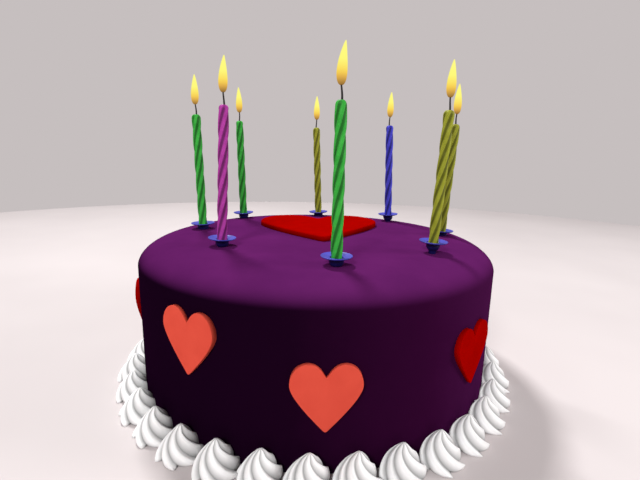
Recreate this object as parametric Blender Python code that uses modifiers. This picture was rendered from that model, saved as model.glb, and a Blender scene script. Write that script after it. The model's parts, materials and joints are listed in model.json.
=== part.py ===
# Round birthday cake under purple fondant: a piped cream border at its foot, fondant
# hearts on its side and top, and a ring of eight lit twisted candles in saucer holders.
# Metres, +Z up, -Y to the front. The origin is the middle of the cake's flat underside.

import math

import bmesh
import bpy
from mathutils import Matrix, Vector

MM = 0.001
GAP = 0.3 * MM  # left between pieces that touch

# Cake: an eight inch round, its top edge softly rolled over.
CAKE_RADIUS = 101.5 * MM
CAKE_HEIGHT = 81.0 * MM
CAKE_STEPS = 64
RIM_WIDTH = 33.5 * MM
RIM_DROP = 10.8 * MM
RIM_POINTS = 5
RIM_FLATNESS = 3.4  # higher keeps the top flat further out
RIM_ROUNDNESS = 1.7

# Border: one star-tip swirl of whipped cream beside the next, all round the foot.
SWIRL_COUNT = 34
SWIRL_RING_RADIUS = 107.0 * MM
SWIRL_RADIUS = 11.0 * MM
SWIRL_HEIGHT = 14.3 * MM
SWIRL_LOBES = 6
SWIRL_CREASE = 0.82  # crease radius over crest radius
SWIRL_CREST_AT = 0.8  # where in a lobe its crest stands
SWIRL_TWIST = math.radians(95)
# Height and radius of each level, as shares of the swirl's height and radius.
SWIRL_LEVELS = ((0.0, 1.0), (0.25, 0.87), (0.62, 0.54))

# Hearts: one outline, used at two sizes. A side heart's face is flat, so it stands least
# proud of the round wall at its middle.
HEART_WIDTH = 29.3 * MM
HEART_LENGTH = 30.0 * MM
HEART_PROUD = 1.7 * MM
HEART_EDGE = 0.5 * MM
HEART_SUNK = 3.0 * MM  # how far the flat blank starts inside the wall that hollows it
HEART_RESOLUTION = 4
# Shares of a heart's length, down from its top, and of its width.
HEART_NOTCH_DOWN = 0.19
HEART_WIDEST_DOWN = 0.3
HEART_LOBE_OUT = 0.25
HEART_TIP_ROUNDING = 1.6  # of its edge
# Handles that shape the outline: of the notch, of the lobe, of the side and of the tip.
HEART_NOTCH_HANDLE = (0.05, 0.06)
HEART_LOBE_HANDLE = 0.15
HEART_SIDE_HANDLE = 0.16
HEART_TIP_HANDLE = (0.195, 0.208)
TOP_HEART_WIDTH = 79.2 * MM
TOP_HEART_LENGTH = 80.3 * MM
TOP_HEART_THICKNESS = 3.2 * MM
TOP_HEART_EDGE = 0.9 * MM
TOP_HEART_RESOLUTION = 6
TOP_HEART_CENTRE = (1.6 * MM, 17.3 * MM)
TOP_HEART_TURN = math.radians(3.5)

# Side hearts: angle from the front, towards +X, depth of the middle below the cake's
# top, and icing colour. They were pressed on by hand, some high and some low.
SIDE_HEARTS = (
    (3.1, 46.0, "coral"),
    (46.1, 41.5, "red"),
    (90.0, 33.0, "coral"),
    (128.5, 44.0, "coral"),
    (167.0, 31.5, "red"),
    (205.0, 40.0, "coral"),
    (243.5, 45.0, "coral"),
    (282.0, 36.5, "red"),
    (329.0, 30.4, "coral"),
)

# Candles: angle from the front, ring radius, height of the saucer above the cake's top,
# length of wax above the saucer, lean towards +X in degrees, and wax colour.
CANDLES = (
    (7.5, 71.3, 3.8, 66.3, 0.0, "green"),
    (55.0, 73.0, 5.4, 64.5, 2.4, "yellow"),
    (94.7, 78.0, 2.5, 64.4, 3.0, "yellow"),
    (138.0, 78.0, 4.6, 64.0, -2.0, "blue"),
    (180.0, 76.5, 2.7, 64.4, -2.4, "yellow"),
    (223.8, 80.7, 3.5, 66.1, -1.6, "green"),
    (262.0, 73.5, 3.2, 66.4, -1.5, "green"),
    (306.9, 61.8, 3.8, 66.9, 2.2, "magenta"),
)
CANDLE_RADIUS = 2.7 * MM
CANDLE_SOCKET_DEPTH = 1.5 * MM
CANDLE_FLUTES = 4
CANDLE_GROOVE = 0.82  # groove radius over ridge radius
CANDLE_RIDGE_AT = 0.76
CANDLE_PITCH = 53.6 * MM
CANDLE_LEVELS = 11
CANDLE_SHOULDER = 1.6 * MM
CROWN_RADIUS = 1.6 * MM  # where the rounded shoulder ends
CROWN_DOWN = 0.3 * MM

WICK_RADIUS = 0.4 * MM
WICK_TIP_RADIUS = 0.32 * MM
WICK_LENGTH = 6.0 * MM
WICK_STEPS = 5
FLAME_LENGTH = 17.4 * MM
FLAME_RADIUS = 2.3 * MM
# Height and radius, as shares of the flame's length and radius, from its tip down.
FLAME_OUTLINE = ((1.0, 0.0), (0.75, 0.44), (0.5, 0.84), (0.28, 1.0), (0.08, 0.7))

HOLDER_STEPS = 10
FLAME_STEPS = 7
SAUCER_RADIUS = 7.2 * MM
SAUCER_THICKNESS = 0.6 * MM
SAUCER_DISH = 0.7 * MM
SOCKET_RADIUS = CANDLE_RADIUS + GAP
CUP_RADIUS = 3.5 * MM
CUP_DEPTH = 2.0 * MM
SPIKE_RADIUS = 2.3 * MM
SPIKE_START = 3.9 * MM
SPIKE_LENGTH = 16.0 * MM
SPIKE_TIP_RADIUS = 0.5 * MM

# Colour, roughness, metallic.
MATERIALS = {
    "fondant_purple": ((0.14, 0.015, 0.13), 0.55, 0.0),
    "icing_red": ((0.45, 0.003, 0.001), 0.5, 0.0),
    "icing_coral": ((0.66, 0.075, 0.047), 0.5, 0.0),
    "cream_white": ((0.9, 0.9, 0.88), 0.6, 0.0),
    "wax_green": ((0.05, 0.42, 0.06), 0.4, 0.0),
    "wax_magenta": ((0.4, 0.05, 0.36), 0.4, 0.0),
    "wax_yellow": ((0.42, 0.4, 0.05), 0.4, 0.0),
    "wax_blue": ((0.07, 0.06, 0.42), 0.4, 0.0),
    "holder_blue": ((0.08, 0.08, 0.6), 0.35, 0.0),
    "wick_char": ((0.02, 0.015, 0.015), 0.9, 0.0),
    "flame_glow": ((1.0, 0.75, 0.3), 0.8, 0.0),
}


def clear_scene():
    for old in list(bpy.data.objects):
        bpy.data.objects.remove(old, do_unlink=True)


def new_collection(name):
    group = bpy.data.collections.new(name)
    bpy.context.scene.collection.children.link(group)
    return group


def material(name):
    found = bpy.data.materials.get(name)
    if found:
        return found
    colour, roughness, metallic = MATERIALS[name]
    made = bpy.data.materials.new(name)
    made.use_nodes = True
    shader = made.node_tree.nodes["Principled BSDF"]
    shader.inputs["Base Color"].default_value = (*colour, 1.0)
    shader.inputs["Roughness"].default_value = roughness
    shader.inputs["Metallic"].default_value = metallic
    made.diffuse_color = (*colour, 1.0)
    return made


def add_object(name, data, group, material_name=None, parent=None):
    made = bpy.data.objects.new(name, data)
    group.objects.link(made)
    if material_name:
        data.materials.clear()
        data.materials.append(material(material_name))
    made.parent = parent
    return made


def make_cutter(made):
    made.hide_render = True
    made.display_type = "WIRE"


def around(angle_deg, radius, height):
    """A point at an angle from the front, turning towards +X."""
    angle = math.radians(angle_deg)
    return Vector((radius * math.sin(angle), -radius * math.cos(angle), height))


def turned_mesh(name, profile, steps, group):
    """A closed solid turned about Z from a profile that runs down its outer side."""
    mesh = bpy.data.meshes.new(name)
    points = [(radius, 0.0, height) for radius, height in profile]
    mesh.from_pydata(points, [(i, i + 1) for i in range(len(points) - 1)], [])
    blank = bpy.data.objects.new(name + "_profile", mesh)
    group.objects.link(blank)
    screw = blank.modifiers.new("turn", "SCREW")
    screw.axis = "Z"
    screw.steps = steps
    screw.render_steps = steps
    screw.use_merge_vertices = True
    screw.merge_threshold = 0.00001
    solid = evaluated_mesh(blank, name)
    bpy.data.objects.remove(blank, do_unlink=True)
    solid.shade_smooth()
    solid.set_sharp_from_angle(angle=math.radians(40))
    return solid


def evaluated_mesh(source, name):
    """The object's mesh with its modifiers, or its curve, made real and welded."""
    bpy.context.view_layer.update()
    graph = bpy.context.evaluated_depsgraph_get()
    mesh = bpy.data.meshes.new_from_object(source.evaluated_get(graph))
    mesh.name = name
    work = bmesh.new()
    work.from_mesh(mesh)
    bmesh.ops.remove_doubles(work, verts=work.verts, dist=0.000005)
    work.to_mesh(mesh)
    work.free()
    return mesh


def boolean(target, operation, tool):
    """Cuts or joins with one object, or with all objects of a collection."""
    step = target.modifiers.new(operation.lower(), "BOOLEAN")
    step.operation = operation
    step.solver = "EXACT"
    if isinstance(tool, bpy.types.Collection):
        step.operand_type = "COLLECTION"
        step.collection = tool
    else:
        step.object = tool


def ratchet(share, low, crest_at):
    """Radius share across one lobe: a slow rise out of the crease, then a quick fall."""
    if share < crest_at:
        return low + (1.0 - low) * share / crest_at
    return 1.0 - (1.0 - low) * (share - crest_at) / (1.0 - crest_at)


def lobed_ring(work, lobes, radius, height, turn, low, crest_at):
    """One level of a lobed solid: a crease and a crest for each lobe."""
    ring = []
    for lobe in range(lobes):
        for share in (0.0, crest_at):
            angle = math.tau * (lobe + share) / lobes + turn
            reach = radius * ratchet(share, low, crest_at)
            point = (reach * math.cos(angle), reach * math.sin(angle), height)
            ring.append(work.verts.new(point))
    return ring


def bridge(work, lower, upper):
    """A band of triangles between two rings with the same number of points."""
    count = len(lower)
    for i in range(count):
        j = (i + 1) % count
        work.faces.new((lower[i], lower[j], upper[j]))
        work.faces.new((lower[i], upper[j], upper[i]))


def close_with_point(work, ring, height):
    point = work.verts.new((0.0, 0.0, height))
    for i in range(len(ring)):
        work.faces.new((ring[i], ring[(i + 1) % len(ring)], point))


def mesh_from(work, name):
    bmesh.ops.recalc_face_normals(work, faces=work.faces)
    mesh = bpy.data.meshes.new(name)
    work.to_mesh(mesh)
    work.free()
    return mesh


# Cake


def rim_profile():
    """The top edge, from where the flat top ends down to the upright side."""
    points = []
    for i in range(RIM_POINTS + 1):
        along = math.sin(0.5 * math.pi * i / RIM_POINTS)
        radius = CAKE_RADIUS - RIM_WIDTH * (1.0 - along)
        drop = RIM_DROP * (1.0 - (1.0 - along**RIM_FLATNESS) ** (1.0 / RIM_ROUNDNESS))
        points.append((radius, CAKE_HEIGHT - drop))
    return points


def build_cake(parts, tools, socket_tools):
    profile = [(0.0, CAKE_HEIGHT), *rim_profile(), (CAKE_RADIUS, 0.0), (0.0, 0.0)]
    mesh = turned_mesh("cake_body", profile, CAKE_STEPS, tools)
    cake = add_object("cake_body", mesh, parts, "fondant_purple")
    boolean(cake, "DIFFERENCE", socket_tools)
    return cake


# Cream border


def swirl_mesh():
    work = bmesh.new()
    rings = []
    for height_share, radius_share in SWIRL_LEVELS:
        # Crests face both neighbours at the foot, so that one swirl runs into the next.
        turn = -SWIRL_TWIST * height_share - SWIRL_CREST_AT * math.tau / SWIRL_LOBES
        rings.append(
            lobed_ring(
                work,
                SWIRL_LOBES,
                SWIRL_RADIUS * radius_share,
                SWIRL_HEIGHT * height_share,
                turn,
                SWIRL_CREASE,
                SWIRL_CREST_AT,
            )
        )
    for lower, upper in zip(rings, rings[1:]):
        bridge(work, lower, upper)
    close_with_point(work, rings[-1], SWIRL_HEIGHT)
    work.faces.new(list(reversed(rings[0])))
    return mesh_from(work, "swirl")


def build_border(parts, tools, swirl_tools):
    """All swirls joined to one ring, trimmed clear of the cake's side."""
    mesh = swirl_mesh()
    border = None
    for i in range(SWIRL_COUNT):
        angle = 360.0 * i / SWIRL_COUNT
        group = swirl_tools if border else parts
        swirl = add_object("swirl_tool" if border else "cream_border", mesh, group)
        swirl.location = around(angle, SWIRL_RING_RADIUS, 0.0)
        swirl.rotation_euler.z = math.radians(angle)
        if border:
            make_cutter(swirl)
        else:
            border = swirl
    border.data = mesh.copy()
    border.data.materials.append(material("cream_white"))
    boolean(border, "UNION", swirl_tools)
    clear = CAKE_RADIUS + GAP
    top = SWIRL_HEIGHT * 2
    profile = [(0.0, top), (clear, top), (clear, -top), (0.0, -top)]
    trim_mesh = turned_mesh("border_trim", profile, CAKE_STEPS, tools)
    trim = add_object("border_trim", trim_mesh, tools)
    make_cutter(trim)
    boolean(border, "DIFFERENCE", trim)


# Hearts


def heart_curve(name, width, length, thickness, edge, resolution, group):
    """A heart outline in the XY plane, tip towards -Y, thick about Z, edges eased."""
    half_width = 0.5 * width - edge
    top = 0.5 * length - edge
    tip = -0.5 * length + HEART_TIP_ROUNDING * edge
    notch = top - HEART_NOTCH_DOWN * length
    lobe_x = HEART_LOBE_OUT * width - 0.5 * edge
    lobe_reach = HEART_LOBE_HANDLE * width
    wide_y = top - HEART_WIDEST_DOWN * length
    side_reach = HEART_SIDE_HANDLE * length
    dip_x = HEART_NOTCH_HANDLE[0] * width
    dip_y = HEART_NOTCH_HANDLE[1] * length
    tip_x = HEART_TIP_HANDLE[0] * width
    tip_y = HEART_TIP_HANDLE[1] * width
    # Point, handle before and handle after, down the right half and up the left.
    right = [
        ((lobe_x, top), (-lobe_reach, 0.0), (lobe_reach, 0.0)),
        ((half_width, wide_y), (0.0, side_reach), (0.0, -side_reach)),
    ]
    left = [((-x, y), (-b[0], b[1]), (-a[0], a[1])) for (x, y), a, b in reversed(right)]
    notch_point = ((0.0, notch), (-dip_x, dip_y), (dip_x, dip_y))
    tip_point = ((0.0, tip), (tip_x, tip_y), (-tip_x, tip_y))
    outline = [notch_point, *right, tip_point, *left]
    curve = bpy.data.curves.new(name, "CURVE")
    curve.dimensions = "2D"
    curve.fill_mode = "BOTH"
    curve.resolution_u = resolution
    curve.extrude = 0.5 * thickness - edge
    curve.bevel_depth = edge
    curve.bevel_resolution = 0
    spline = curve.splines.new("BEZIER")
    spline.bezier_points.add(len(outline) - 1)
    spline.use_cyclic_u = True
    for knot, ((x, y), before, after) in zip(spline.bezier_points, outline):
        knot.handle_left_type = "FREE"
        knot.handle_right_type = "FREE"
        knot.co = (x, y, 0.0)
        knot.handle_left = (x + before[0], y + before[1], 0.0)
        knot.handle_right = (x + after[0], y + after[1], 0.0)
    blank = bpy.data.objects.new(name + "_curve", curve)
    group.objects.link(blank)
    mesh = evaluated_mesh(blank, name)
    bpy.data.objects.remove(blank, do_unlink=True)
    return mesh


def build_top_heart(parts, tools):
    mesh = heart_curve(
        "top_heart",
        TOP_HEART_WIDTH,
        TOP_HEART_LENGTH,
        TOP_HEART_THICKNESS,
        TOP_HEART_EDGE,
        TOP_HEART_RESOLUTION,
        tools,
    )
    heart = add_object("top_heart", mesh, parts, "icing_red")
    lift = CAKE_HEIGHT + GAP + 0.5 * TOP_HEART_THICKNESS
    heart.location = (*TOP_HEART_CENTRE, lift)
    heart.rotation_euler.z = TOP_HEART_TURN


def side_heart_mesh(tools):
    """A heart stood upright at the front of the side, its back hollowed to the wall."""
    thickness = HEART_PROUD + HEART_SUNK
    flat = heart_curve(
        "side_heart",
        HEART_WIDTH,
        HEART_LENGTH,
        thickness,
        HEART_EDGE,
        HEART_RESOLUTION,
        tools,
    )
    flat.transform(Matrix.Rotation(math.radians(90), 4, "X"))
    middle = CAKE_RADIUS + HEART_PROUD - 0.5 * thickness
    flat.transform(Matrix.Translation((0.0, -middle, 0.0)))
    blank = add_object("side_heart_blank", flat, tools)
    make_cutter(blank)
    wall = CAKE_RADIUS + GAP
    high = HEART_LENGTH
    profile = [(0.0, high), (wall, high), (wall, -high), (0.0, -high)]
    wall_mesh = turned_mesh("side_heart_wall", profile, CAKE_STEPS, tools)
    wall_tool = add_object("side_heart_wall", wall_mesh, tools)
    make_cutter(wall_tool)
    boolean(blank, "DIFFERENCE", wall_tool)
    mesh = evaluated_mesh(blank, "side_heart")
    bpy.data.objects.remove(blank, do_unlink=True)
    bpy.data.objects.remove(wall_tool, do_unlink=True)
    return mesh


def build_side_hearts(parts, tools):
    shape = side_heart_mesh(tools)
    shapes = {colour: shape.copy() for colour in ("red", "coral")}
    for number, (angle, depth, colour) in enumerate(SIDE_HEARTS, start=1):
        name = f"side_heart_{number}"
        heart = add_object(name, shapes[colour], parts, "icing_" + colour)
        heart.location.z = CAKE_HEIGHT - depth * MM
        heart.rotation_euler.z = math.radians(angle)


# Candles


def holder_profile(grow=0.0):
    """Saucer, cup and spike from the rim down, or the hole they need in the cake."""
    tip_radius = SPIKE_TIP_RADIUS + grow
    return [
        (SAUCER_RADIUS, SAUCER_DISH),
        (SAUCER_RADIUS, SAUCER_DISH - SAUCER_THICKNESS),
        (CUP_RADIUS, -SAUCER_THICKNESS),
        (CUP_RADIUS + grow, -CUP_DEPTH),
        (SPIKE_RADIUS + grow, -SPIKE_START),
        (tip_radius, -SPIKE_LENGTH - grow),
        (0.0, -SPIKE_LENGTH - grow),
    ]


def holder_mesh(tools):
    floor = -CANDLE_SOCKET_DEPTH - GAP
    inside = [(0.0, floor), (SOCKET_RADIUS, floor), (SOCKET_RADIUS, 0.0)]
    return turned_mesh("holder", inside + holder_profile(), HOLDER_STEPS, tools)


def socket_mesh(tools):
    """The hole a holder needs: its cup and spike, grown by the gap, open at the top."""
    below = holder_profile(GAP)[3:]
    profile = [(0.0, 0.0), (CUP_RADIUS + GAP, 0.0), *below]
    return turned_mesh("socket", profile, HOLDER_STEPS, tools)


def candle_mesh(wax_length):
    """Twisted wax: ridges that climb to the right, over a smooth rounded shoulder."""
    work = bmesh.new()
    low = -CANDLE_SOCKET_DEPTH
    shoulder = wax_length - CANDLE_SHOULDER
    rings = []
    for i in range(CANDLE_LEVELS + 1):
        height = low + (shoulder - low) * i / CANDLE_LEVELS
        turn = math.tau * height / CANDLE_PITCH
        rings.append(
            lobed_ring(
                work, CANDLE_FLUTES, CANDLE_RADIUS, height, turn, CANDLE_GROOVE, CANDLE_RIDGE_AT
            )
        )
    turn = math.tau * shoulder / CANDLE_PITCH
    crown = wax_length - CROWN_DOWN
    rings.append(
        lobed_ring(work, CANDLE_FLUTES, CROWN_RADIUS, crown, turn, 1.0, CANDLE_RIDGE_AT)
    )
    for lower, upper in zip(rings, rings[1:]):
        bridge(work, lower, upper)
    close_with_point(work, rings[-1], wax_length)
    work.faces.new(list(reversed(rings[0])))
    return mesh_from(work, "candle")


def wick_mesh():
    work = bmesh.new()
    bmesh.ops.create_cone(
        work,
        cap_ends=True,
        segments=WICK_STEPS,
        radius1=WICK_RADIUS,
        radius2=WICK_TIP_RADIUS,
        depth=WICK_LENGTH,
        matrix=Matrix.Translation((0.0, 0.0, 0.5 * WICK_LENGTH)),
    )
    return mesh_from(work, "wick")


def flame_mesh(tools):
    """A teardrop: full low down, drawn out to a fine tip."""
    profile = [(share * FLAME_RADIUS, height * FLAME_LENGTH) for height, share in FLAME_OUTLINE]
    return turned_mesh("flame", [*profile, (0.0, 0.0)], FLAME_STEPS, tools)


def seat_for(number, candle, group):
    """An empty at the saucer's middle that leans as its candle does."""
    angle, ring, height, _, lean, _ = candle
    seat = bpy.data.objects.new(f"seat_{number}", None)
    seat.empty_display_size = SAUCER_RADIUS
    group.objects.link(seat)
    seat.location = around(angle, ring * MM, CAKE_HEIGHT + height * MM)
    seat.rotation_euler.y = math.radians(lean)
    return seat


def build_candles(parts, tools, socket_tools):
    holder = holder_mesh(tools)
    socket = socket_mesh(tools)
    wick = wick_mesh()
    flame = flame_mesh(tools)
    for number, candle in enumerate(CANDLES, start=1):
        seat = seat_for(number, candle, parts)
        angle, _, _, length, _, colour = candle
        wax_length = length * MM
        wax = "wax_" + colour
        add_object(f"holder_{number}", holder, parts, "holder_blue", seat)
        stick = add_object(f"candle_{number}", candle_mesh(wax_length), parts, wax, seat)
        stick.rotation_euler.z = math.radians(angle)
        thread = add_object(f"wick_{number}", wick, parts, "wick_char", seat)
        thread.location.z = wax_length + GAP
        bpy.context.view_layer.update()
        fire = add_object(f"flame_{number}", flame, parts, "flame_glow")
        flame_lift = wax_length + WICK_LENGTH + 2 * GAP
        fire.location = seat.matrix_world @ Vector((0.0, 0.0, flame_lift))
        hole = add_object(f"socket_tool_{number}", socket, socket_tools, None, seat)
        make_cutter(hole)


def main():
    clear_scene()
    parts = new_collection("birthday_cake")
    tools = new_collection("cutters")
    socket_tools = new_collection("socket_cutters")
    swirl_tools = new_collection("swirl_tools")
    build_candles(parts, tools, socket_tools)
    build_cake(parts, tools, socket_tools)
    build_border(parts, tools, swirl_tools)
    build_top_heart(parts, tools)
    build_side_hearts(parts, tools)


main()
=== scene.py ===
import json
import math
import bmesh
import bpy
from mathutils import Matrix, Vector, noise

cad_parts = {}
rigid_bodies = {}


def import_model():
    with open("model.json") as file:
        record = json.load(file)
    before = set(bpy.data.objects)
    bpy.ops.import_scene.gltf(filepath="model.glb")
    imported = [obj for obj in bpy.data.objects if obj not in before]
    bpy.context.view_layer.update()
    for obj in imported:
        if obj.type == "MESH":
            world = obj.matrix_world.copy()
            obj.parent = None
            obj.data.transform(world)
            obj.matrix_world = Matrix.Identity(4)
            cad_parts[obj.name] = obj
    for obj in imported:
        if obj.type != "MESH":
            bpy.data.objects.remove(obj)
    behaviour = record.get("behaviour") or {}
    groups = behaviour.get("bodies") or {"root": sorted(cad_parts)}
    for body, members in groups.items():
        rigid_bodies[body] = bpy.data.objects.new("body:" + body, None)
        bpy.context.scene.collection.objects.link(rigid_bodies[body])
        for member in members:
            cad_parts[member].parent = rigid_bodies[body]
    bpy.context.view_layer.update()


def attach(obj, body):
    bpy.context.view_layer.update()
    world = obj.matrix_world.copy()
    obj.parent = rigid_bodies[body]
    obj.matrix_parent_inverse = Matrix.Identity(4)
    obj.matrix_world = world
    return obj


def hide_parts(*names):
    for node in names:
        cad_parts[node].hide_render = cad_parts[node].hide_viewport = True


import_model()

mm = 0.001
scene = bpy.context.scene
scene.view_settings.view_transform = 'Standard'


def hexColor(code):
    # sRGB hex to the linear values that Blender's colour sockets hold
    linear = []
    for start in (0, 2, 4):
        value = int(code[start:start + 2], 16) / 255
        linear.append(value / 12.92 if value <= 0.04045 else ((value + 0.055) / 1.055) ** 2.4)
    return (*linear, 1.0)


def addNode(tree, kind, values=None, links=None, **settings):
    # one node with its settings, its plain input values and what feeds it
    node = tree.nodes.new(kind)
    for name, value in settings.items():
        setattr(node, name, value)
    for name, value in (values or {}).items():
        node.inputs[name].default_value = value
    for name, source in (links or {}).items():
        tree.links.new(source, node.inputs[name])
    return node


def addRamp(tree, source, stops, blend='LINEAR'):
    node = tree.nodes.new('ShaderNodeValToRGB')
    ramp = node.color_ramp
    ramp.interpolation = blend
    while len(ramp.elements) < len(stops):
        ramp.elements.new(0.5)
    for element, (place, color) in zip(ramp.elements, stops):
        element.position = place
        element.color = color
    tree.links.new(source, node.inputs['Fac'])
    return node


def newMaterial(name):
    # a material with a bare Principled shader; returns it with its tree and shader
    made = bpy.data.materials.new(name)
    made.use_nodes = True
    tree = made.node_tree
    return made, tree, tree.nodes['Principled BSDF']


def objectPoint(tree):
    return tree.nodes.new('ShaderNodeTexCoord').outputs['Object']


def finishPiece(name, mesh, material, nodes, smooth=True):
    # links the mesh as one piece of the cake, standing for its CAD nodes
    piece = bpy.data.objects.new(name, mesh)
    scene.collection.objects.link(piece)
    mesh.materials.clear()
    mesh.materials.append(material)
    if smooth:
        mesh.shade_smooth()
    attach(piece, 'root')
    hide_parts(*nodes)
    return piece


def meshFromRings(name, rings, closeStart=None, closeEnd=None):
    # skins rings of equal length, with an optional pole point at either end
    work = bmesh.new()
    made = [[work.verts.new(point) for point in ring] for ring in rings]
    for lower, upper in zip(made, made[1:]):
        count = len(lower)
        for i in range(count):
            j = (i + 1) % count
            work.faces.new((lower[i], lower[j], upper[j], upper[i]))
    for pole, ring in ((closeStart, made[0]), (closeEnd, made[-1])):
        if pole is None:
            continue
        tip = work.verts.new(pole)
        for i in range(len(ring)):
            work.faces.new((ring[i], ring[(i + 1) % len(ring)], tip))
    bmesh.ops.recalc_face_normals(work, faces=work.faces)
    mesh = bpy.data.meshes.new(name)
    work.to_mesh(mesh)
    work.free()
    return mesh


def storePoints(mesh, name, values):
    # keeps one number for each vertex, for a material to read
    store = mesh.attributes.new(name, 'FLOAT', 'POINT')
    store.data.foreach_set('value', values)


def ringAt(radius, height, steps):
    # a level circle of points round the Z axis
    turns = [math.tau * i / steps for i in range(steps)]
    return [Vector((radius * math.cos(turn), radius * math.sin(turn), height)) for turn in turns]


def aroundCake(angleDeg, radius, height):
    # a point at an angle from the front, turning towards +X
    angle = math.radians(angleDeg)
    return Vector((radius * math.sin(angle), -radius * math.cos(angle), height))


def smoothStep(low, high, value):
    # eased rise from 0 at low to 1 at high
    share = min(max((value - low) / (high - low), 0.0), 1.0)
    return share * share * (3.0 - 2.0 * share)


cake = {
    'radius': 101.5 * mm,
    'height': 81.0 * mm,
    'rimWidth': 33.5 * mm,      # how far in the top edge starts to fall
    'rimDrop': 10.8 * mm,       # how far it falls before the upright wall
    'rimFlatness': 3.4,         # higher keeps the top flat for longer
    'rimRoundness': 1.7,
    'steps': 320,               # points round the cake
    'topRings': 70,
    'sideRings': 44,
    'unevenness': 0.28 * mm,    # the hand-smoothed icing wanders by this much
    'topShare': 0.6,            # of that, what is left on the top
    'broadWaves': 14.0,         # waves to the metre
    'fineWaves': 55.0,
    'dimpleDepth': 0.55 * mm,   # icing pushed down round each candle spike
    'dimpleRadius': 3.4 * mm,
    'dimpleLip': 0.25,          # height of the lip pushed up round it, share of its depth
    'dimpleBelow': 3.0 * mm,    # no dimples further down the rim than this
}

# angle from the front, ring radius, saucer height above the top, wax length, lean, wax
candleRows = [
    (7.5, 71.3, 3.8, 66.3, 0.0, 'green'),
    (55.0, 73.0, 5.4, 64.5, 2.4, 'yellow'),
    (94.7, 78.0, 2.5, 64.4, 3.0, 'yellow'),
    (138.0, 78.0, 4.6, 64.0, -2.0, 'blue'),
    (180.0, 76.5, 2.7, 64.4, -2.4, 'yellow'),
    (223.8, 80.7, 3.5, 66.1, -1.6, 'green'),
    (262.0, 73.5, 3.2, 66.4, -1.5, 'green'),
    (306.9, 61.8, 3.8, 66.9, 2.2, 'magenta'),
]


def seatMatrix(row):
    # the saucer's middle, leaning as its candle leans
    angle, ring, height, _, lean, _ = row
    place = Matrix.Translation(aroundCake(angle, ring * mm, cake['height'] + height * mm))
    return place @ Matrix.Rotation(math.radians(lean), 4, 'Y')


def rimDropAt(radius):
    # how far the icing has fallen below the flat top at this radius
    along = max(0.0, 1.0 - (cake['radius'] - radius) / cake['rimWidth'])
    share = min(along, 1.0) ** cake['rimFlatness']
    return cake['rimDrop'] * (1.0 - (1.0 - share) ** (1.0 / cake['rimRoundness']))


def cakeProfile():
    # radius and height from near the middle of the top out and down to the foot
    points = []
    flat = cake['radius'] - cake['rimWidth']
    inner = cake['topRings'] // 2
    for i in range(1, inner + 1):
        points.append((flat * i / inner, cake['height']))
    outer = cake['topRings'] - inner
    for i in range(1, outer + 1):
        along = math.sin(0.5 * math.pi * i / outer)
        radius = flat + cake['rimWidth'] * along
        points.append((radius, cake['height'] - rimDropAt(radius)))
    top = cake['height'] - cake['rimDrop']
    for i in range(1, cake['sideRings'] + 1):
        points.append((cake['radius'], top * (1.0 - i / cake['sideRings'])))
    return points


def cakeWobble(point):
    # broad waves left by the smoother, and finer ones between them
    broad = noise.noise(point * cake['broadWaves'] + Vector((3.1, 0.4, 1.7)))
    fine = noise.noise(point * cake['fineWaves'] + Vector((9.3, 2.2, 5.1)))
    return cake['unevenness'] * (0.8 * broad + 0.2 * fine)


def dimpleAt(point, spikes):
    # down close round each spike, with a low lip of icing beyond
    reach = cake['dimpleRadius']
    change = 0.0
    for spike in spikes:
        gap = (Vector((point.x, point.y)) - Vector((spike.x, spike.y))).length
        if gap < 3.0 * reach:
            dip = math.exp(-(gap / reach) ** 2)
            lip = math.exp(-((gap - 1.6 * reach) / (0.7 * reach)) ** 2)
            change += cake['dimpleDepth'] * (cake['dimpleLip'] * lip - dip)
    return change


def spikePlaces():
    # where each holder's spike goes in through the top
    places = []
    for row in candleRows:
        seat = seatMatrix(row)
        places.append(seat @ Vector((0.0, 0.0, -row[2] * mm)))
    return places


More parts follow.
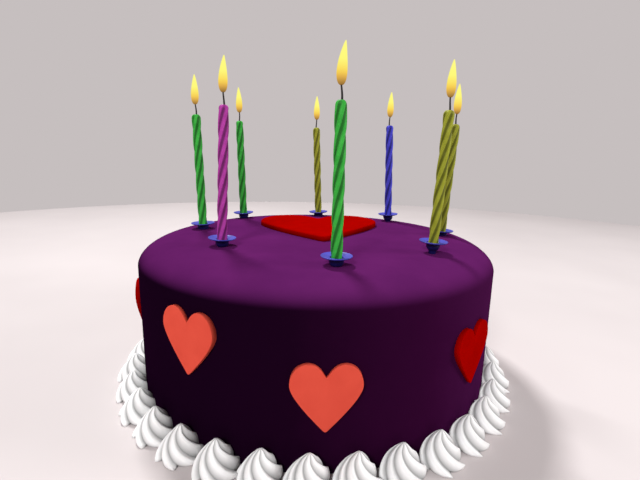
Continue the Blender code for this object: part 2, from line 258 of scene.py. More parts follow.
def makeFondant():
    # rolled sugar paste, rubbed smooth: dry and matt, with painted light making the top paler and
    # painted shade making the upright side darker
    material, tree, shader = newMaterial('rolledFondantPurple')
    point = objectPoint(tree)
    blotch = addNode(tree, 'ShaderNodeTexNoise',
                     {'Scale': 34.0, 'Detail': 4.0, 'Roughness': 0.55}, {'Vector': point})
    spot = addNode(tree, 'ShaderNodeSeparateXYZ', None, {'Vector': point})
    # painted light: the side colour is lighter towards +X and darker towards -X, standing for light
    # from that side; the fondant's own mottle is added to it
    across = addNode(tree, 'ShaderNodeMapRange', {'From Min': -90 * mm, 'From Max': 100 * mm},
                     {'Value': spot.outputs['X']})
    thickness = addNode(tree, 'ShaderNodeMath', {1: 0.12},
                        {0: blotch.outputs['Fac'], 2: across.outputs['Result']},
                        operation='MULTIPLY_ADD')
    # painted shade: the dark purple of the upright side
    shadedSideColor = addRamp(tree, thickness.outputs['Value'], [
        (0.0, hexColor('0d0210')), (0.5, hexColor('180318')),
        (0.8, hexColor('2e072a')), (1.0, hexColor('3f113c')),
    ])
    # painted light: the paler purple of the top
    litTopColor = addRamp(tree, blotch.outputs['Fac'],
                     [(0.35, hexColor('501850')), (0.65, hexColor('571b56'))])
    # painted light and shade: top colour where the surface faces up, side colour where it faces
    # sideways
    surface = tree.nodes.new('ShaderNodeNewGeometry')
    facing = addNode(tree, 'ShaderNodeSeparateXYZ', None, {'Vector': surface.outputs['Normal']})
    litTopMask = addNode(tree, 'ShaderNodeMapRange', {'From Min': 0.25, 'From Max': 0.99},
                     {'Value': facing.outputs['Z']}, interpolation_type='SMOOTHSTEP')
    tint = addNode(tree, 'ShaderNodeMix', None,
                   {0: litTopMask.outputs['Result'], 6: shadedSideColor.outputs['Color'], 7: litTopColor.outputs['Color']},
                   data_type='RGBA')
    grain = addNode(tree, 'ShaderNodeTexNoise', {'Scale': 2600.0, 'Detail': 2.0}, {'Vector': point})
    bump = addNode(tree, 'ShaderNodeBump', {'Strength': 0.25, 'Distance': 0.00004},
                   {'Height': grain.outputs['Fac']})
    rough = addNode(tree, 'ShaderNodeMapRange', {'To Min': 0.6, 'To Max': 0.72},
                    {'Value': blotch.outputs['Fac']})
    tree.links.new(tint.outputs[2], shader.inputs['Base Color'])
    tree.links.new(rough.outputs['Result'], shader.inputs['Roughness'])
    tree.links.new(bump.outputs['Normal'], shader.inputs['Normal'])
    shader.inputs['IOR'].default_value = 1.45
    shader.inputs['Specular IOR Level'].default_value = 0.0
    shader.inputs['Sheen Weight'].default_value = 0.02
    shader.inputs['Sheen Roughness'].default_value = 0.5
    shader.inputs['Sheen Tint'].default_value = hexColor('c040b4')
    return material


def makeCake():
    spikes = spikePlaces()
    top = cake['height']
    rings = []
    for radius, height in cakeProfile():
        onSide = smoothStep(top, top - cake['rimDrop'], height)
        ring = []
        for point in ringAt(radius, height, cake['steps']):
            outward = Vector((point.x, point.y, 0.0)).normalized()
            wobble = cakeWobble(point)
            lift = wobble * (1.0 - onSide) * cake['topShare']
            point = point + outward * (wobble * onSide) + Vector((0.0, 0.0, lift))
            if height > top - cake['dimpleBelow']:
                point.z += dimpleAt(point, spikes)
            ring.append(point)
        rings.append(ring)
    mesh = meshFromRings('cakeBody', rings, Vector((0.0, 0.0, top)), Vector((0.0, 0.0, 0.0)))
    finishPiece('cakeBody', mesh, makeFondant(), ['cake_body'])
    print('cake body made')


border = {
    'count': 34,
    'ringRadius': 107.2 * mm,
    'firstAngle': -90.3,        # degrees from +X, so that one swirl stands at the front
    'swirlRadius': 10.9 * mm,
    'swirlHeight': 14.2 * mm,
    'tipSway': 0.4 * mm,        # how far a tip may be pulled off to one side
    'lobes': 6,
    'lobeSpread': 0.05,         # how much one lobe may differ from the next
    'creaseDepth': 0.28,        # share of the radius
    'crestAt': 0.9,             # where a ridge is highest, from one crease to the next
    'firstCrease': 6.0,         # degrees
    'twist': 95.0,              # degrees, all of it below twistBelow
    'twistBelow': 0.84,         # share of the height above which the creases run straight
    'levels': 26,
    'variants': 4,              # different swirls to pick from
    'sizeSpread': 0.02,
    'turnSpread': 0.12,         # radians
    'seed': 11,
    # one swirl's outline: share of the height, then share of the radius
    'outline': [
        (0.0, 1.0), (0.05, 0.985), (0.12, 0.95), (0.19, 0.905), (0.25, 0.86), (0.325, 0.805),
        (0.44, 0.71), (0.55, 0.61), (0.64, 0.51), (0.73, 0.41), (0.8, 0.325), (0.87, 0.24),
        (0.92, 0.18), (0.96, 0.13), (0.985, 0.08), (1.0, 0.01),
    ],
}


def swirlRadiusAt(share):
    # outline of one swirl by height: full at the foot, then drawn in to a point
    knots = border['outline']
    for (a, ra), (b, rb) in zip(knots, knots[1:]):
        if share <= b:
            return ra + (rb - ra) * (share - a) / (b - a)
    return knots[-1][1]


def lobeShape(share):
    # across one ridge: a long rise out of the crease to a full crest, then straight down
    crest = border['crestAt']
    if share < crest:
        return (share / crest) ** 0.8
    return math.cos(0.5 * math.pi * (share - crest) / (1.0 - crest)) ** 0.7


def makeSwirlVariant(number):
    # one piped swirl: creases wound round it from the foot, then straight up to the tip
    lobes = border['lobes']
    levels = border['levels']
    crest = border['crestAt']
    acrossSteps = [0.01, 0.07, 0.16, 0.28, 0.41, 0.55, 0.69, 0.82, crest, 0.5 * (crest + 1.0)]
    lean = Vector((noise.noise(Vector((number, 1.5, 0.0))),
                   noise.noise(Vector((number, 7.5, 0.0))), 0.0))
    rings = []
    ridges = []
    for level in range(levels + 1):
        share = math.sin(0.5 * math.pi * level / levels)
        height = border['swirlHeight'] * share
        radius = border['swirlRadius'] * swirlRadiusAt(share)
        bend = max(0.0, 1.0 - share / border['twistBelow'])
        turn = math.radians(border['firstCrease'] + border['twist'] * bend)
        depth = border['creaseDepth'] * (1.0 - 0.35 * share)
        ring = []
        for lobe in range(lobes):
            differ = noise.noise(Vector((lobe * 1.7, number * 3.3, 0.5)))
            size = 1.0 + border['lobeSpread'] * differ
            for across in acrossSteps:
                reach = radius * size * (1.0 - depth * (1.0 - lobeShape(across)))
                angle = math.tau * (lobe + across) / lobes + turn
                ridges.append(lobeShape(across))
                ring.append(Vector((reach * math.cos(angle), reach * math.sin(angle), height))
                            + lean * (border['tipSway'] * share ** 2))
        rings.append(ring)
    tip = Vector((0.0, 0.0, border['swirlHeight'] * 1.005)) + lean * border['tipSway']
    mesh = meshFromRings('swirlShape%d' % number, rings, Vector((0.0, 0.0, 0.0)), tip)
    # each point's height on its ridge, which the cream's painted crease shade reads
    storePoints(mesh, 'ridge', ridges + [1.0, 1.0])
    mesh.shade_smooth()
    return bpy.data.objects.new('swirlShape%d' % number, mesh)


def makeCream():
    # whipped cream: white and soft, light passes a little way in, pocked with tiny air bubbles,
    # with painted shade greying it down in the creases
    material, tree, shader = newMaterial('whippedCream')
    point = objectPoint(tree)
    patch = addNode(tree, 'ShaderNodeTexNoise', {'Scale': 90.0, 'Detail': 3.0}, {'Vector': point})
    tint = addRamp(tree, patch.outputs['Fac'],
                   [(0.3, hexColor('fafafa')), (0.7, hexColor('ffffff'))])
    pocks = addNode(tree, 'ShaderNodeTexVoronoi', {'Scale': 1400.0}, {'Vector': point})
    ripple = addNode(tree, 'ShaderNodeTexNoise', {'Scale': 420.0, 'Detail': 3.0}, {'Vector': point})
    mixed = addNode(tree, 'ShaderNodeMath', None,
                    {0: pocks.outputs['Distance'], 1: ripple.outputs['Fac']}, operation='ADD')
    bump = addNode(tree, 'ShaderNodeBump', {'Strength': 0.3, 'Distance': 0.00012},
                   {'Height': mixed.outputs['Value']})
    ridge = addNode(tree, 'ShaderNodeAttribute', attribute_name='ridge')
    # painted shade: grey down in the creases, white on the crests
    depth = addRamp(tree, ridge.outputs['Fac'], [
        (0.0, hexColor('a0a0a0')), (0.35, hexColor('d0d0d0')), (0.75, hexColor('ffffff')),
    ])
    shade = addNode(tree, 'ShaderNodeMix', {0: 1.0},
                    {6: tint.outputs['Color'], 7: depth.outputs['Color']},
                    data_type='RGBA', blend_type='MULTIPLY')
    tree.links.new(shade.outputs[2], shader.inputs['Base Color'])
    tree.links.new(bump.outputs['Normal'], shader.inputs['Normal'])
    shader.inputs['Roughness'].default_value = 0.6
    shader.inputs['IOR'].default_value = 1.45
    shader.inputs['Specular IOR Level'].default_value = 0.25
    shader.inputs['Subsurface Weight'].default_value = 0.1
    shader.inputs['Subsurface Radius'].default_value = (1.0, 0.95, 0.85)
    shader.inputs['Subsurface Scale'].default_value = 0.0012
    return material


def borderTree(material, shapes):
    # sets the swirl shapes one beside the next round a circle, each a little different
    tree = bpy.data.node_groups.new('pipedBorder', 'GeometryNodeTree')
    face = tree.interface
    face.new_socket('Geometry', in_out='OUTPUT', socket_type='NodeSocketGeometry')
    sockets = {}
    for name, kind, value in (
        ('Count', 'NodeSocketInt', border['count']),
        ('Ring Radius', 'NodeSocketFloat', border['ringRadius']),
        ('First Angle', 'NodeSocketFloat', math.radians(border['firstAngle'])),
        ('Size Spread', 'NodeSocketFloat', border['sizeSpread']),
        ('Turn Spread', 'NodeSocketFloat', border['turnSpread']),
        ('Seed', 'NodeSocketInt', border['seed']),
    ):
        socket = face.new_socket(name, in_out='INPUT', socket_type=kind)
        socket.default_value = value
        sockets[name] = socket.identifier
    given = tree.nodes.new('NodeGroupInput').outputs
    circle = addNode(tree, 'GeometryNodeMeshCircle', None,
                     {'Vertices': given['Count'], 'Radius': given['Ring Radius']})
    start = addNode(tree, 'ShaderNodeCombineXYZ', None, {'Z': given['First Angle']})
    turned = addNode(tree, 'GeometryNodeTransform', None,
                     {'Geometry': circle.outputs['Mesh'], 'Rotation': start.outputs['Vector']})
    index = tree.nodes.new('GeometryNodeInputIndex').outputs['Index']
    step = addNode(tree, 'ShaderNodeMath', {0: math.tau}, {1: given['Count']}, operation='DIVIDE')
    angle = addNode(tree, 'ShaderNodeMath', None,
                    {0: index, 1: step.outputs['Value'], 2: given['First Angle']},
                    operation='MULTIPLY_ADD')
    back = addNode(tree, 'ShaderNodeMath', {1: -1.0}, {0: given['Turn Spread']},
                   operation='MULTIPLY')
    sway = addNode(tree, 'FunctionNodeRandomValue', None,
                   {2: back.outputs['Value'], 3: given['Turn Spread'], 'Seed': given['Seed']},
                   data_type='FLOAT')
    spin = addNode(tree, 'ShaderNodeMath', None,
                   {0: angle.outputs['Value'], 1: sway.outputs[1]}, operation='ADD')
    lowest = addNode(tree, 'ShaderNodeMath', {0: 1.0}, {1: given['Size Spread']}, operation='SUBTRACT')
    highest = addNode(tree, 'ShaderNodeMath', {0: 1.0}, {1: given['Size Spread']}, operation='ADD')
    other = addNode(tree, 'ShaderNodeMath', {1: 1.0}, {0: given['Seed']}, operation='ADD')
    size = addNode(tree, 'FunctionNodeRandomValue', None,
                   {2: lowest.outputs['Value'], 3: highest.outputs['Value'],
                    'Seed': other.outputs['Value']},
                   data_type='FLOAT')
    turn = addNode(tree, 'ShaderNodeCombineXYZ', None, {'Z': spin.outputs['Value']})
    source = addNode(tree, 'GeometryNodeCollectionInfo',
                     {'Collection': shapes, 'Separate Children': True, 'Reset Children': True})
    placed = addNode(tree, 'GeometryNodeInstanceOnPoints', {'Pick Instance': True},
                     {'Points': turned.outputs['Geometry'], 'Instance': source.outputs['Instances'],
                      'Rotation': turn.outputs['Vector'], 'Scale': size.outputs[1]})
    real = addNode(tree, 'GeometryNodeRealizeInstances', None,
                   {'Geometry': placed.outputs['Instances']})
    dressed = addNode(tree, 'GeometryNodeSetMaterial', {'Material': material},
                      {'Geometry': real.outputs['Geometry']})
    addNode(tree, 'NodeGroupOutput', None, {'Geometry': dressed.outputs['Geometry']})
    return tree, sockets


def makeBorder():
    # the nodes pipe the ring, and it is kept as one plain mesh
    material = makeCream()
    shapes = bpy.data.collections.new('swirlShapes')
    for number in range(border['variants']):
        shapes.objects.link(makeSwirlVariant(number))
    piped = bpy.data.objects.new('borderMaker', bpy.data.meshes.new('borderMaker'))
    scene.collection.objects.link(piped)
    tree, sockets = borderTree(material, shapes)
    maker = piped.modifiers.new('pipedBorder', 'NODES')
    maker.node_group = tree
    maker[sockets['Count']] = border['count']
    maker[sockets['Seed']] = border['seed']
    bpy.context.view_layer.update()
    graph = bpy.context.evaluated_depsgraph_get()
    mesh = bpy.data.meshes.new_from_object(piped.evaluated_get(graph))
    bpy.data.objects.remove(piped, do_unlink=True)
    for shape in list(shapes.objects):
        bpy.data.objects.remove(shape, do_unlink=True)
    bpy.data.collections.remove(shapes)
    finishPiece('creamBorder', mesh, material, ['cream_border'])
    print('cream border made,', len(mesh.polygons), 'faces')


heart = {
    'width': 29.3 * mm,
    'length': 30.0 * mm,
    'thickness': 1.7 * mm,      # how proud of the wall its flat face stands
    'edge': 0.35 * mm,          # radius of the eased rim
    'steps': 24,                # points along each of the outline's six curves
    'sink': 0.7 * mm,           # how far the back reaches into the icing
    'softening': 0.6 * mm,      # how far the cut point and notch are eased
}

topHeart = {
    'width': 79.2 * mm,
    'length': 80.3 * mm,
    'thickness': 3.3 * mm,
    'edge': 1.1 * mm,
    'steps': 30,
    'sink': 0.0,
    'bed': 0.4 * mm,            # how far the middle of its underside presses into the top
    'softening': 0.9 * mm,
    'centre': (1.6 * mm, 17.3 * mm),
    'turn': 3.5,                # degrees
}

heartCut = {
    'rimRings': 6,              # rings over the eased rim
    'faceRings': 12,            # rings from there in to the middle
    'crown': 0.12 * mm,         # the face swells by this much
}

# angle from the front, depth of the middle below the top, icing, tilt in degrees
sideHearts = [
    (3.1, 46.0, 'coral', -0.3),
    (46.1, 41.5, 'red', 0.9),
    (90.0, 33.0, 'coral', -1.6),
    (128.5, 44.0, 'coral', 1.4),
    (167.0, 31.5, 'red', -0.8),
    (205.0, 40.0, 'coral', 2.0),
    (243.5, 45.0, 'coral', -1.1),
    (282.0, 36.5, 'red', 0.5),
    (329.0, 30.4, 'coral', -1.2),
]


def bezierPoint(a, b, c, d, t):
    # a point on the curve from a to d, drawn towards the handles b and c
    u = 1.0 - t
    return a * u ** 3 + b * (3 * u * u * t) + c * (3 * u * t * t) + d * t ** 3


def mirrored(knot):
    # a knot and its two handles, over on the left side
    place, before, after = knot
    return (Vector((-place.x, place.y)), Vector((-after.x, after.y)), Vector((-before.x, before.y)))


def heartOutline(size):
    # the closed outline from the notch down the right side to the point and back up the left
    width = size['width']
    length = size['length']
    halfWidth = 0.5 * width
    top = 0.5 * length
    notch = (Vector((0.0, top - 0.19 * length)), Vector((-0.05 * width, 0.06 * length)),
             Vector((0.05 * width, 0.06 * length)))
    lobe = (Vector((0.5 * halfWidth, top)), Vector((-0.15 * width, 0.0)),
            Vector((0.15 * width, 0.0)))
    side = (Vector((halfWidth, top - 0.3 * length)), Vector((0.0, 0.16 * length)),
            Vector((0.0, -0.16 * length)))
    reach = 0.26 * width
    tip = (Vector((0.0, -0.5 * length)), Vector((0.75 * reach, 0.8 * reach)),
           Vector((-0.75 * reach, 0.8 * reach)))
    knots = [notch, lobe, side, tip, mirrored(side), mirrored(lobe)]
    points = []
    for first, second in zip(knots, knots[1:] + knots[:1]):
        for i in range(size['steps']):
            points.append(bezierPoint(first[0], first[0] + first[2], second[0] + second[1],
                                      second[0], i / size['steps']))
    return softenOutline(points, size['softening'])


def softenOutline(points, radius):
    # eases the sharp point and notch by averaging over a short stretch of the outline
    count = len(points)
    passesPerMm = 2.5
    for _ in range(max(1, int(radius / mm * passesPerMm))):
        points = [
            points[i] * 0.5 + (points[i - 1] + points[(i + 1) % count]) * 0.25 for i in range(count)
        ]
    return points


def insetOutline(points, distance):
    # each point moved inwards along its own normal, clockwise outline
    count = len(points)
    moved = []
    for i in range(count):
        along = points[(i + 1) % count] - points[i - 1]
        moved.append(points[i] + Vector((along.y, -along.x)).normalized() * distance)
    return moved


def heartRings(outline, size):
    # outline rings from the back edge, up the side, over the eased rim, in to the middle
    edge = size['edge']
    thick = size['thickness']
    rimRings = heartCut['rimRings']
    faceRings = heartCut['faceRings']
    rings = [[(p, -size['sink']) for p in outline], [(p, thick - edge) for p in outline]]
    for i in range(1, rimRings + 1):
        angle = 0.5 * math.pi * i / rimRings
        inset = insetOutline(outline, edge * (1.0 - math.cos(angle)))
        rings.append([(p, thick - edge + edge * math.sin(angle)) for p in inset])
    flat = [p for p, _ in rings[-1]]
    middle = Vector((0.0, 0.06 * size['length']))
    for i in range(1, faceRings):
        share = 1.0 - i / faceRings
        crown = heartCut['crown'] * (1.0 - share ** 4)
        rings.append([(middle + (p - middle) * share, thick + crown) for p in flat])
    return rings, (middle, thick + heartCut['crown'])


def makeHeartIcing(name, dark, light):
    # cut sugar paste with food colour: matt, faintly mottled, a fine sugar grain
    material, tree, shader = newMaterial(name)
    point = objectPoint(tree)
    mottle = addNode(tree, 'ShaderNodeTexNoise', {'Scale': 120.0, 'Detail': 3.0}, {'Vector': point})
    tint = addRamp(tree, mottle.outputs['Fac'], [(0.3, hexColor(dark)), (0.7, hexColor(light))])
    grain = addNode(tree, 'ShaderNodeTexNoise', {'Scale': 2400.0, 'Detail': 2.0}, {'Vector': point})
    bump = addNode(tree, 'ShaderNodeBump', {'Strength': 0.3, 'Distance': 0.00004},
                   {'Height': grain.outputs['Fac']})
    tree.links.new(tint.outputs['Color'], shader.inputs['Base Color'])
    tree.links.new(bump.outputs['Normal'], shader.inputs['Normal'])
    shader.inputs['Roughness'].default_value = 0.7
    shader.inputs['IOR'].default_value = 1.45
    shader.inputs['Specular IOR Level'].default_value = 0.0
    return material


def makeTopHeart():
    rings, (middle, high) = heartRings(heartOutline(topHeart), topHeart)
    turn = Matrix.Rotation(math.radians(topHeart['turn']), 3, 'Z')
    shift = Vector((*topHeart['centre'], cake['height']))

    def place(point, lift):
        return turn @ Vector((point.x, point.y, 0.0)) + shift + Vector((0.0, 0.0, lift))

    solid = [[place(p, lift) for p, lift in ring] for ring in rings]
    base = place(middle, -topHeart['bed'])
    mesh = meshFromRings('topHeart', solid, base, place(middle, high))
    icing = makeHeartIcing('rolledIcingDeepRed', '8e0200', '960200')
    finishPiece('topHeart', mesh, icing, ['top_heart'])


def makeSideHearts():
    icings = {
        'coral': makeHeartIcing('rolledIcingCoral', 'd24c3c', 'd85140'),
        'red': makeHeartIcing('rolledIcingRed', '940200', '9c0200'),
    }
    rings, (middle, high) = heartRings(heartOutline(heart), heart)
    radius = cake['radius']
    for number, (angle, depth, icing, tilt) in enumerate(sideHearts, start=1):
        spin = Matrix.Rotation(math.radians(tilt), 2)
        facing = Matrix.Rotation(math.radians(angle), 3, 'Z')
        height = cake['height'] - depth * mm

        def place(point, lift, atBack):
            flat = spin @ point
            # the back follows the round wall, the front stays flat
            wall = math.sqrt(radius ** 2 - flat.x ** 2)
            out = wall + lift if atBack else radius + lift
            return facing @ Vector((flat.x, -out, flat.y)) + Vector((0.0, 0.0, height))

        solid = [[place(p, lift, i == 0) for p, lift in ring] for i, ring in enumerate(rings)]
        back = place(middle, -heart['sink'], True)
        mesh = meshFromRings('sideHeart%d' % number, solid, back, place(middle, high, False))
        finishPiece('sideHeart%d' % number, mesh, icings[icing], ['side_heart_%d' % number])
    print('hearts made')


holder = {
    'saucerRadius': 7.2 * mm,
    'dish': 0.75 * mm,
    'thickness': 0.5 * mm,
    'cupRadius': 3.5 * mm,
    'socketRadius': 2.95 * mm,
    'spikeRadius': 2.25 * mm,
    'spikeStart': 3.95 * mm,
    'spikeLength': 16.0 * mm,
    'socketDepth': 1.8 * mm,
    'steps': 48,
    'slopeRings': 8,            # rings up the saucer's slope, and again below it
    'slope': 1.8,               # higher turns the rim up more sharply
    # the cup rounds in: how far inside its radius, then how far below the saucer's middle
    'cupCurve': [(0.05 * mm, 1.9 * mm), (0.2 * mm, 2.6 * mm), (0.5 * mm, 3.25 * mm),
                 (0.9 * mm, 3.75 * mm)],
    # the spike's radius, then its depth
    'spikeCurve': [(1.9 * mm, 4.8 * mm), (1.3 * mm, 11.0 * mm), (0.55 * mm, 15.6 * mm),
                   (0.3 * mm, 15.95 * mm)],
}


def holderProfile():
    # radius and height from the socket floor up, over the saucer and down to the spike's tip
    rim = holder['saucerRadius']
    thin = holder['thickness']
    dish = holder['dish']
    socket = holder['socketRadius']
    cup = holder['cupRadius']
    count = holder['slopeRings']
    points = [(socket * 0.98, -holder['socketDepth']), (socket, -0.2 * mm), (socket + 0.15 * mm, 0.0)]
    for i in range(1, count + 1):
        share = i / count
        radius = socket + 0.15 * mm + (rim - 0.3 * mm - socket) * share
        points.append((radius, dish * share ** holder['slope']))
    # over the thin rounded rim
    points += [(rim - 0.05 * mm, dish + 0.05 * mm), (rim, dish - 0.1 * mm),
               (rim - 0.05 * mm, dish - 0.3 * mm)]
    for i in range(1, count + 1):
        share = 1.0 - i / count
        radius = cup + 0.4 * mm + (rim - 0.5 * mm - cup) * share
        points.append((radius, dish * share ** holder['slope'] - thin))
    # down the cup, which rounds in to the spike
    points += [(cup + 0.1 * mm, -thin - 0.15 * mm), (cup, -thin - 0.6 * mm)]
    points += [(cup - inside, -depth) for inside, depth in holder['cupCurve']]
    points.append((holder['spikeRadius'], -holder['spikeStart']))
    points += [(radius, -depth) for radius, depth in holder['spikeCurve']]
    return points


def makeHolderPlastic():
    # moulded blue plastic: pale blue on the saucer, with painted shade making it deep navy down in the
    # cup under the saucer
    material, tree, shader = newMaterial('mouldedPlasticBlue')
    point = objectPoint(tree)
    cloud = addNode(tree, 'ShaderNodeTexNoise', {'Scale': 260.0, 'Detail': 2.0}, {'Vector': point})
    thin = addNode(tree, 'ShaderNodeAttribute', attribute_name='saucerLitShare')
    mixed = addNode(tree, 'ShaderNodeMath', {1: 0.1}, {0: cloud.outputs['Fac'], 2: thin.outputs['Fac']},
                    operation='MULTIPLY_ADD')
    # painted shade: navy where the share is 0, in the cup under the saucer
    tint = addRamp(tree, mixed.outputs['Value'], [
        (0.05, hexColor('14104a')), (0.5, hexColor('3034a0')), (1.0, hexColor('4446b0')),
    ])
    rough = addNode(tree, 'ShaderNodeMapRange', {'To Min': 0.34, 'To Max': 0.42},
                    {'Value': cloud.outputs['Fac']})
    tree.links.new(tint.outputs['Color'], shader.inputs['Base Color'])
    tree.links.new(rough.outputs['Result'], shader.inputs['Roughness'])
    shader.inputs['IOR'].default_value = 1.49
    shader.inputs['Specular IOR Level'].default_value = 0.3
    return material


def makeHolders():
    plastic = makeHolderPlastic()
    profile = holderProfile()
    steps = holder['steps']
    # 1 on the saucer, 0 on the cup and spike, which get the painted shade
    saucerLitShare = [smoothStep(-0.9 * mm, 0.3 * mm, z) for _, z in profile for _ in range(steps)]
    for number, row in enumerate(candleRows, start=1):
        seat = seatMatrix(row)
        rings = [[seat @ point for point in ringAt(r, z, steps)] for r, z in profile]
        mesh = meshFromRings('holder%d' % number, rings,
                             seat @ Vector((0.0, 0.0, -holder['socketDepth'])),
                             seat @ Vector((0.0, 0.0, -holder['spikeLength'])))
        storePoints(mesh, 'saucerLitShare', saucerLitShare + [0.0, 0.0])
        finishPiece('holder%d' % number, mesh, plastic, ['holder_%d' % number])
    print('holders made')


candle = {
    'radius': 2.68 * mm,
    'flutes': 4,
    'groove': 0.17,             # share of the radius
    'crestEnds': 0.56,          # where a ridge starts to fall, from one groove to the next
    'grooveStarts': 0.74,
    'pitch': 53.6 * mm,         # height in which a ridge goes once round
    'perFlute': 16,             # points across one flute
    'levelGap': 0.8 * mm,
    'seat': 1.4 * mm,           # how deep the candle stands in its socket
    'shoulder': 2.4 * mm,       # height of the rounded top
    'shoulderRings': 8,
    'crown': 0.6 * mm,          # wax drawn up round the wick
}

waxColors = {
    'green': ('2f9a35', '3fb043'),
    'magenta': ('a0348f', 'b442a4'),
    'yellow': ('8d9029', '9a9e33'),
    'blue': ('3d3cb6', '4b4aca'),
}


def fluteShape(share):
    # across one ridge: a long rise, a quick step down and a short dull groove
    crestEnds = candle['crestEnds']
    grooveStarts = candle['grooveStarts']
    if share < crestEnds:
        return math.sin(0.5 * math.pi * share / crestEnds) ** 0.9
    if share < grooveStarts:
        return 1.0 - smoothStep(crestEnds, grooveStarts, share)
    return 0.0


def makeWax(color):
    # dyed paraffin: satin, light soaks a little way in, with painted shade darkening it down in the
    # grooves
    dark, light = waxColors[color]
    material, tree, shader = newMaterial('dyedWax' + color.capitalize())
    point = objectPoint(tree)
    cloud = addNode(tree, 'ShaderNodeTexNoise', {'Scale': 210.0, 'Detail': 3.0}, {'Vector': point})
    tint = addRamp(tree, cloud.outputs['Fac'], [(0.3, hexColor(dark)), (0.7, hexColor(light))])
    ridge = addNode(tree, 'ShaderNodeAttribute', attribute_name='ridge')
    # painted shade: the colour darkened to 0.35 down in the grooves
    groove = addNode(tree, 'ShaderNodeMix', {6: (0.35, 0.35, 0.35, 1.0), 7: (1.0, 1.0, 1.0, 1.0)},
                     {0: ridge.outputs['Fac']}, data_type='RGBA')
    shade = addNode(tree, 'ShaderNodeMix', {0: 1.0},
                    {6: tint.outputs['Color'], 7: groove.outputs[2]},
                    data_type='RGBA', blend_type='MULTIPLY')
    grain = addNode(tree, 'ShaderNodeTexNoise', {'Scale': 1500.0, 'Detail': 2.0}, {'Vector': point})
    bump = addNode(tree, 'ShaderNodeBump', {'Strength': 0.15, 'Distance': 0.00005},
                   {'Height': grain.outputs['Fac']})
    tree.links.new(shade.outputs[2], shader.inputs['Base Color'])
    tree.links.new(bump.outputs['Normal'], shader.inputs['Normal'])
    shader.inputs['Roughness'].default_value = 0.5
    shader.inputs['IOR'].default_value = 1.44
    shader.inputs['Specular IOR Level'].default_value = 0.12
    shader.inputs['Subsurface Weight'].default_value = 0.12
    shader.inputs['Subsurface Radius'].default_value = (0.6, 0.6, 0.6)
    shader.inputs['Subsurface Scale'].default_value = 0.001
    return material


def candleRingShape(height, length):
    # how wide and how fluted the wax is at this height
    shoulder = candle['shoulder']
    if height < length - shoulder:
        return 1.0, 1.0
    over = (height - (length - shoulder)) / shoulder
    wide = math.sqrt(1.0 - (over * 0.97) ** 2)
    return wide, 1.0 - over * 0.8


def makeCandle(number, row, material):
    # rings up the wax, each turned a little further than the one below
    seat = seatMatrix(row)
    length = row[3] * mm + candle['crown']
    start = math.radians(row[0])
    low = -candle['seat']
    straight = length - candle['shoulder'] - low
    levels = int(straight / candle['levelGap'])
    topRings = candle['shoulderRings']
    heights = [low + straight * i / levels for i in range(levels)]
    heights += [length - candle['shoulder'] * (1.0 - i / topRings) for i in range(topRings)]
    rings = []
    ridges = []
    for height in heights:
        wide, fluted = candleRingShape(height, length)
        turn = math.tau * height / candle['pitch'] + start
        ring = []
        for flute in range(candle['flutes']):
            for step in range(candle['perFlute']):
                across = step / candle['perFlute']
                rise = fluteShape(across)
                reach = candle['radius'] * wide * (1.0 - candle['groove'] * fluted * (1.0 - rise))
                angle = math.tau * (flute + across) / candle['flutes'] + turn
                ring.append(seat @ Vector((reach * math.cos(angle), reach * math.sin(angle), height)))
                # where each point lies between groove and ridge, for the painted groove shade
                ridges.append(1.0 - fluted * (1.0 - min(1.0, rise * 1.6)))
        rings.append(ring)
    mesh = meshFromRings('candle%d' % number, rings, seat @ Vector((0.0, 0.0, low)),
                         seat @ Vector((0.0, 0.0, length - 0.15 * mm)))
    storePoints(mesh, 'ridge', ridges + [0.3, 1.0])
    finishPiece('candle%d' % number, mesh, material, ['candle_%d' % number])


wick = {
    'radius': 0.5 * mm,
    'length': 6.3 * mm,
    'foot': 0.4 * mm,           # how far it starts down in the wax
    'bend': 0.35 * mm,
    'steps': 12,
    'levels': 8,
}

flame = {
    'length': 17.4 * mm,
    'radius': 2.3 * mm,
    'roundWick': 0.3 * mm,      # how far it starts down round the wick
    # how far the tip of each flame drifts towards +X, in the order of candleRows
    'drift': [1.4 * mm, 0.5 * mm, 0.2 * mm, 0.3 * mm, -0.1 * mm, -0.4 * mm, 0.1 * mm, 0.9 * mm],
    'steps': 32,
    'levels': 40,
    'brightness': 1.0,
}


def makeCharredWick():
    # burnt cotton: black and matt, with a little grey along its plies
    material, tree, shader = newMaterial('charredCotton')
    point = objectPoint(tree)
    ply = addNode(tree, 'ShaderNodeTexWave', {'Scale': 420.0, 'Distortion': 2.0}, {'Vector': point})
    tint = addRamp(tree, ply.outputs['Fac'], [(0.2, hexColor('151213')), (0.8, hexColor('302a29'))])
    tree.links.new(tint.outputs['Color'], shader.inputs['Base Color'])
    shader.inputs['Roughness'].default_value = 0.9
    return material


def makeFlameLight():
    # burning vapour: dull orange at its foot, pale yellow through the body and the tip
    material, tree, shader = newMaterial('candleFlame')
    height = addNode(tree, 'ShaderNodeAttribute', attribute_name='heightShare')
    waver = addNode(tree, 'ShaderNodeTexNoise', {'Scale': 160.0, 'Detail': 1.0},
                    {'Vector': objectPoint(tree)})
    shifted = addNode(tree, 'ShaderNodeMath', {1: 0.04},
                      {0: waver.outputs['Fac'], 2: height.outputs['Fac']},
                      operation='MULTIPLY_ADD')
    glow = addRamp(tree, shifted.outputs['Value'], [
        (0.02, hexColor('8a6430')), (0.1, hexColor('b88c42')), (0.19, hexColor('dfae4c')),
        (0.28, hexColor('f4cc54')), (0.38, hexColor('fbe062')), (0.6, hexColor('fff97a')),
        (1.0, hexColor('fffb86')),
    ])
    tree.links.new(glow.outputs['Color'], shader.inputs['Emission Color'])
    shader.inputs['Emission Strength'].default_value = flame['brightness']
    shader.inputs['Base Color'].default_value = hexColor('1a1206')
    shader.inputs['Roughness'].default_value = 1.0
    shader.inputs['Specular IOR Level'].default_value = 0.0
    return material


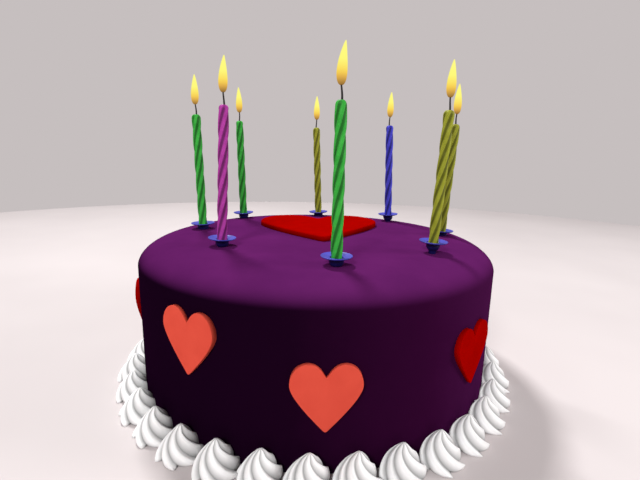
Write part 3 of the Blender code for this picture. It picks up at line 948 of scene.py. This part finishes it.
def makeWick(number, row, material):
    # a thin cord with a slight bend of its own; returns the middle of its tip
    seat = seatMatrix(row)
    base = row[3] * mm - wick['foot']
    rings = []
    for i in range(wick['levels'] + 1):
        share = i / wick['levels']
        sway = Vector((wick['bend'] * math.sin(share * 2.6 + number), 0.0, 0.0))
        radius = wick['radius'] * (1.0 - 0.25 * share)
        height = base + (wick['length'] + wick['foot']) * share
        rings.append([seat @ (p + sway) for p in ringAt(radius, height, wick['steps'])])
    ends = [sum(ring, Vector()) / len(ring) for ring in (rings[0], rings[-1])]
    mesh = meshFromRings('wick%d' % number, rings, *ends)
    finishPiece('wick%d' % number, mesh, material, ['wick_%d' % number])
    return ends[1]


def flameRadiusAt(share):
    # a teardrop, fullest a third of the way up
    return flame['radius'] * math.sin(math.pi * share ** 0.6) ** 0.72 * (1.0 - 0.1 * share)


def makeFlame(number, foot, material):
    # rings from just above the foot to just below the tip
    rings = []
    shares = [0.012 + 0.976 * i / flame['levels'] for i in range(flame['levels'] + 1)]
    for share in shares:
        drift = flame['drift'][number - 1] * share ** 2.2
        shift = foot + Vector((drift, 0.0, -flame['roundWick']))
        height = flame['length'] * share
        rings.append([p + shift for p in ringAt(flameRadiusAt(share), height, flame['steps'])])
    ends = [sum(ring, Vector()) / len(ring) for ring in (rings[0], rings[-1])]
    mesh = meshFromRings('flame%d' % number, rings, *ends)
    heightShares = [share for share in shares for _ in range(flame['steps'])]
    storePoints(mesh, 'heightShare', heightShares + [0.0, 1.0])
    finishPiece('flame%d' % number, mesh, material, ['flame_%d' % number])


def makeCandles():
    waxes = {color: makeWax(color) for color in waxColors}
    charred = makeCharredWick()
    glowing = makeFlameLight()
    for number, row in enumerate(candleRows, start=1):
        makeCandle(number, row, waxes[row[5]])
        tip = makeWick(number, row, charred)
        makeFlame(number, tip, glowing)
    print('candles made')


floor = {
    'reach': 0.85,              # metres, out to its round edge
    'steps': 96,
    'drop': 0.2 * mm,           # just clear below the cake
}


def makeFloor():
    # plain painted board, pale and matt
    mesh = bpy.data.meshes.new('floor')
    steps = floor['steps']
    mesh.from_pydata(ringAt(floor['reach'], 0.0, steps), [], [tuple(range(steps))])
    ground = bpy.data.objects.new('floor', mesh)
    ground.location.z = -floor['drop']
    scene.collection.objects.link(ground)
    material, tree, shader = newMaterial('paleFloor')
    speckle = addNode(tree, 'ShaderNodeTexNoise', {'Scale': 8.0}, {'Vector': objectPoint(tree)})
    tint = addRamp(tree, speckle.outputs['Fac'],
                   [(0.3, hexColor('c9c1c1')), (0.7, hexColor('cec6c6'))])
    tree.links.new(tint.outputs['Color'], shader.inputs['Base Color'])
    shader.inputs['Roughness'].default_value = 0.8
    mesh.materials.append(material)


lights = {
    'wall': ('c6bfbf', 1.0),    # the pale wall the eye sees: colour and strength
    'room': ('d8d0cf', 0.38),   # the dimmer light it throws on the cake
    'aim': Vector((0.0, 0.0, 0.05)),
    # round soft lamps: name, place, width in metres, power in watts
    'lamps': [
        ('keyLight', Vector((-0.3, 0.5, 1.15)), 0.22, 15.0),
        ('frontLight', Vector((-0.4, -1.1, 0.8)), 0.35, 12.0),
        ('rightLight', Vector((1.0, -0.1, 0.45)), 0.4, 5.5),
    ],
}


def addLamp(name, place, width, power):
    light = bpy.data.lights.new(name, 'AREA')
    light.shape = 'DISK'
    light.size = width
    light.energy = power
    lamp = bpy.data.objects.new(name, light)
    lamp.location = place
    lamp.rotation_euler = (lights['aim'] - place).to_track_quat('-Z', 'Y').to_euler()
    scene.collection.objects.link(lamp)


def addBackground(tree, look):
    color, strength = look
    return addNode(tree, 'ShaderNodeBackground', {'Color': hexColor(color), 'Strength': strength})


def makeLights():
    world = bpy.data.worlds.new('paleRoom')
    world.use_nodes = True
    tree = world.node_tree
    seen = addBackground(tree, lights['wall'])
    lit = addBackground(tree, lights['room'])
    path = tree.nodes.new('ShaderNodeLightPath')
    both = addNode(tree, 'ShaderNodeMixShader', None, {
        0: path.outputs['Is Camera Ray'], 1: lit.outputs['Background'], 2: seen.outputs['Background'],
    })
    tree.links.new(both.outputs['Shader'], tree.nodes['World Output'].inputs['Surface'])
    scene.world = world
    for lamp in lights['lamps']:
        addLamp(*lamp)


camera = {
    'place': Vector((1.8 * mm, -249.1 * mm, 130.2 * mm)),
    'pitch': 11.967,            # degrees below level
    'roll': -1.226,             # degrees
    'lens': 23.29,
    'sensor': 36.0,
    'nearest': 0.01,
}


def makeCamera():
    lens = bpy.data.cameras.new('camera')
    lens.sensor_width = camera['sensor']
    lens.lens = camera['lens']
    lens.clip_start = camera['nearest']
    eye = bpy.data.objects.new('camera', lens)
    pitch = math.radians(camera['pitch'])
    roll = math.radians(camera['roll'])
    forward = Vector((0.0, math.cos(pitch), -math.sin(pitch)))
    across = Vector((1.0, 0.0, 0.0))
    down = forward.cross(across)
    right = across * math.cos(roll) + down * math.sin(roll)
    down = down * math.cos(roll) - across * math.sin(roll)
    basis = Matrix((right, -down, -forward)).transposed()
    eye.matrix_world = Matrix.Translation(camera['place']) @ basis.to_4x4()
    scene.collection.objects.link(eye)
    scene.camera = eye


makeCake()
makeBorder()
makeTopHeart()
makeSideHearts()
makeHolders()
makeCandles()
makeFloor()
makeLights()
makeCamera()
